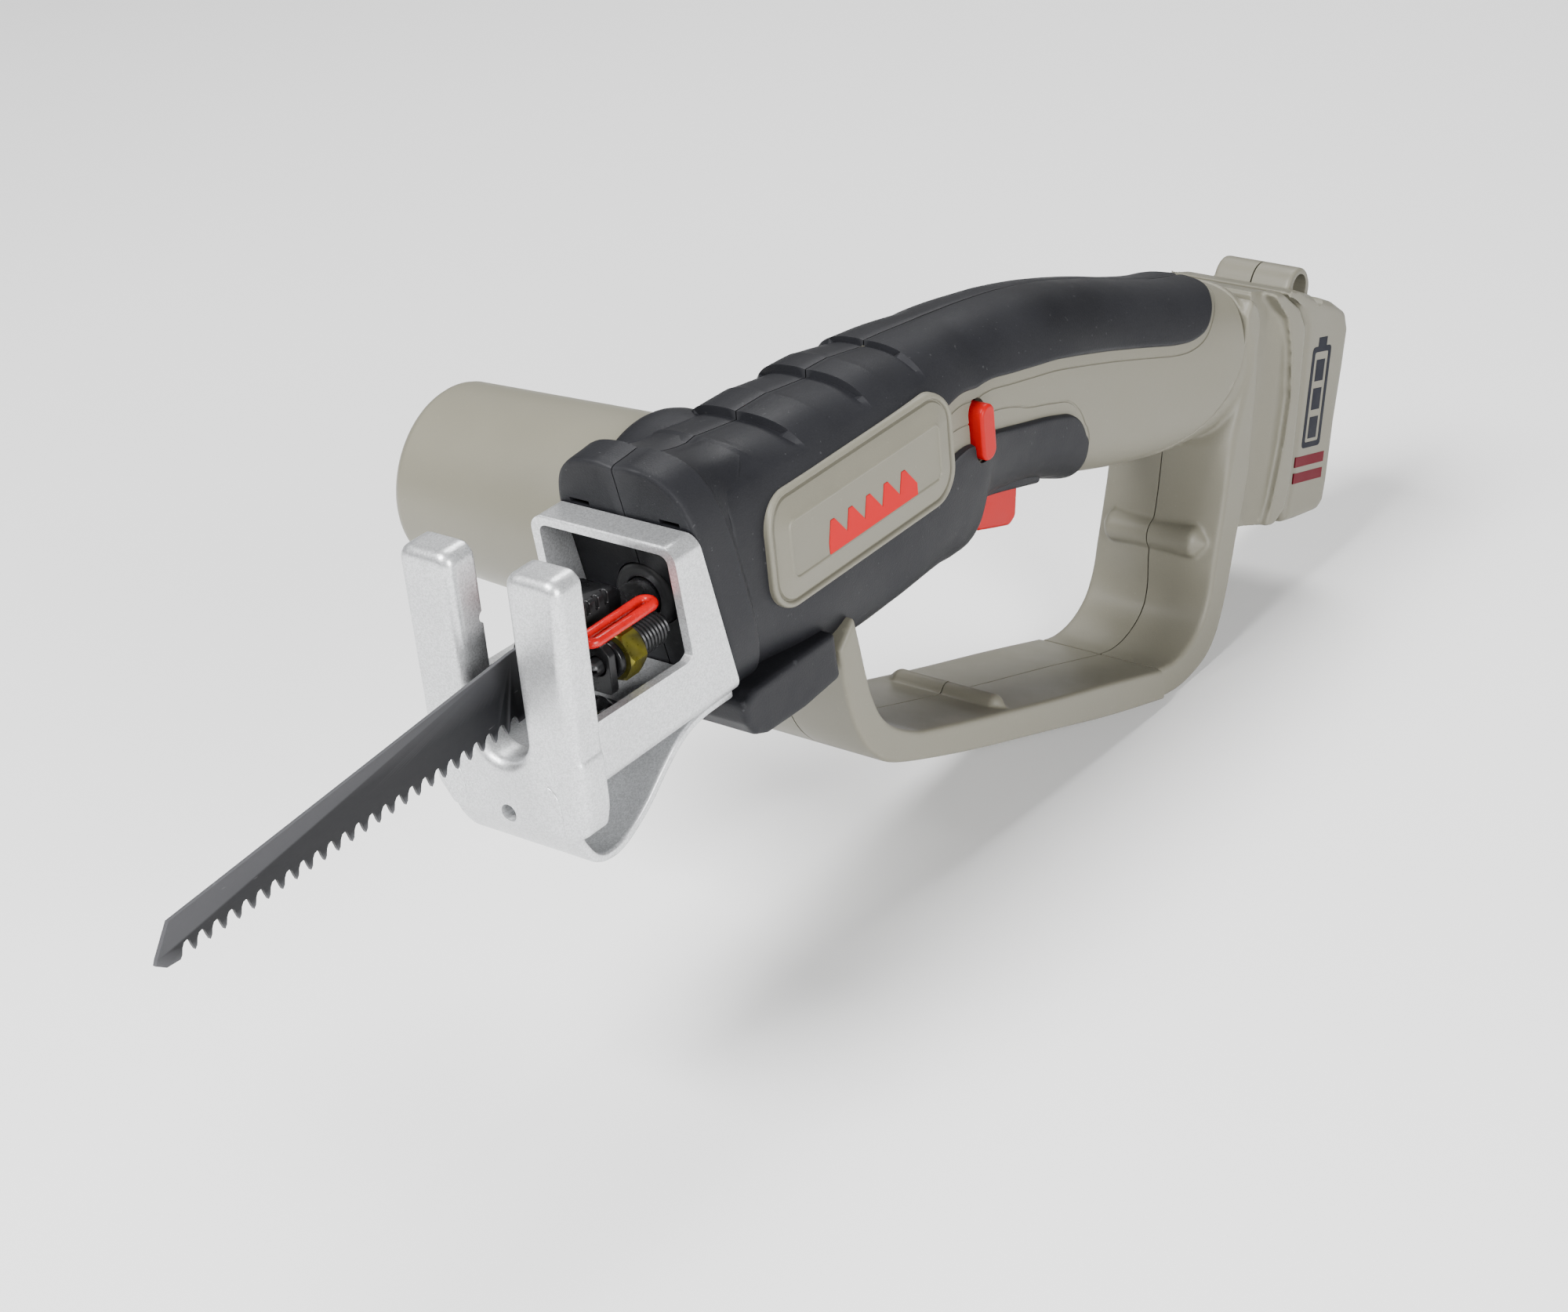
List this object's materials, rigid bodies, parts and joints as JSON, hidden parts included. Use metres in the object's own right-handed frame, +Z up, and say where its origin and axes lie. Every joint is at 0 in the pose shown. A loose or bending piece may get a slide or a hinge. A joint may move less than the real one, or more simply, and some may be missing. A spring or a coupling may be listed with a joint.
{
  "type": "reciprocating saw",
  "caption": "Cordless pruning saw: barrel with side motor cup, D-shaped hand guard, tilted battery, forked branch support and a straight reciprocating blade",
  "frame": {"origin": "centre of the bounding box in X and Y, at its lowest point in Z (the lowest point of the hand guard)", "axes": "+X the blade stroke direction, forward; +Y the tool's left side; +Z up with the barrel level"},
  "size_m": [0.4428, 0.105, 0.1492],
  "materials": {
    "grey_shell": "moulded fine grain",
    "soft_grip": "soft overmould, satin",
    "silver_paint": "silver powder coat",
    "black_steel": "black oxide",
    "red_plastic": "smooth red moulding",
    "red_paint": "red dipped wire",
    "bright_steel": "machined steel",
    "zinc_yellow": "yellow passivated zinc",
    "bronze": "sintered bronze",
    "black_plastic": "glass filled nylon",
    "cell_wrap": "shrink wrap",
    "blade_steel": "blackened blade steel"
  },
  "bodies": {
    "housing": {"handle_shell_left": "grey_shell", "handle_shell_right": "grey_shell", "guard_left": "grey_shell", "guard_right": "grey_shell", "rear_head_left": "grey_shell", "rear_head_right": "grey_shell", "label_panel": "grey_shell", "motor_cup": "grey_shell", "grip_left": "soft_grip", "grip_right": "soft_grip", "nose_left": "soft_grip", "nose_right": "soft_grip", "guard_boot": "soft_grip", "motor_collar": "soft_grip", "bracket": "silver_paint", "branch_fork": "silver_paint", "motor_can": "bright_steel", "motor_bearing": "bright_steel", "gear_axle": "bright_steel", "gear_frame": "bright_steel", "shoe_bolt": "bright_steel", "trigger_pin": "bright_steel", "trigger_spring": "bright_steel", "contact_block": "black_plastic", "motor_end_cap": "black_plastic", "nose_seal": "black_plastic", "switch_module": "black_plastic", "front_bush": "bronze", "rear_bush": "bronze", "housing_screw_1": "bright_steel", "housing_screw_2": "bright_steel", "housing_screw_3": "bright_steel", "housing_screw_4": "bright_steel", "housing_screw_5": "bright_steel"},
    "motor_rotor": {"rotor": "bright_steel", "motor_fan": "black_plastic", "pinion": "bright_steel"},
    "crank": {"crank_gear": "bright_steel", "crank_pin": "bright_steel"},
    "stroke": {"plunger": "bright_steel", "clamp_body": "black_steel", "clamp_bolt": "black_steel", "clamp_washer": "black_steel", "clamp_nut": "zinc_yellow", "clamp_spring": "black_steel"},
    "lever": {"clamp_lever": "red_paint"},
    "saw_blade": {"blade": "blade_steel"},
    "trigger": {"trigger": "red_plastic"},
    "lock_off": {"lock_button": "red_plastic"},
    "battery": {"battery_case": "grey_shell", "battery_stem": "black_plastic", "cell_1": "cell_wrap", "cell_2": "cell_wrap", "cell_3": "cell_wrap", "cell_4": "cell_wrap", "cell_5": "cell_wrap"},
    "release": {"battery_latch": "black_plastic"}
  },
  "joints": [
    {"name": "stroke_slide", "type": "slide", "parent": "housing", "child": "stroke", "axis": [1, 0, 0], "range_m": [-0.007, 0.007]},
    {"name": "motor_spin", "type": "hinge", "parent": "housing", "child": "motor_rotor", "pos_m": [0.0392, 0.0305, 0.1136], "axis": [0, 1, 0], "continuous": true},
    {"name": "crank_spin", "type": "hinge", "parent": "housing", "child": "crank", "pos_m": [0.0152, 0.0305, 0.1136], "axis": [0, 1, 0], "continuous": true},
    {"name": "clamp_lever_lift", "type": "hinge", "parent": "stroke", "child": "lever", "pos_m": [0.1012, 0.0423, 0.1208], "axis": [0, 1, 0], "range_deg": [0, 24]},
    {"name": "blade_pull", "type": "slide", "parent": "stroke", "child": "saw_blade", "axis": [1, 0, 0], "range_m": [0, 0.05]},
    {"name": "trigger_pull", "type": "hinge", "parent": "housing", "child": "trigger", "pos_m": [-0.0438, 0.0305, 0.095], "axis": [0, 1, 0], "range_deg": [0, 9], "stiffness_Nm_per_rad": 0.5, "springref_deg": -6.88, "deforming": ["trigger_spring"]},
    {"name": "lock_off_press", "type": "slide", "parent": "housing", "child": "lock_off", "axis": [0, -1, 0], "range_m": [0, 0.003], "stiffness_N_per_m": 600, "springref_m": -0.002},
    {"name": "battery_slide", "type": "slide", "parent": "housing", "child": "battery", "axis": [-0.9613, 0, -0.2756], "range_m": [0, 0.04]},
    {"name": "release_press", "type": "slide", "parent": "battery", "child": "release", "axis": [-0.2756, 0, 0.9613], "range_m": [0, 0.002], "stiffness_N_per_m": 600, "springref_m": -0.002}
  ],
  "couplings": [
    {"joint": "crank_spin", "follows": "motor_spin", "ratio": -0.26316}
  ]
}
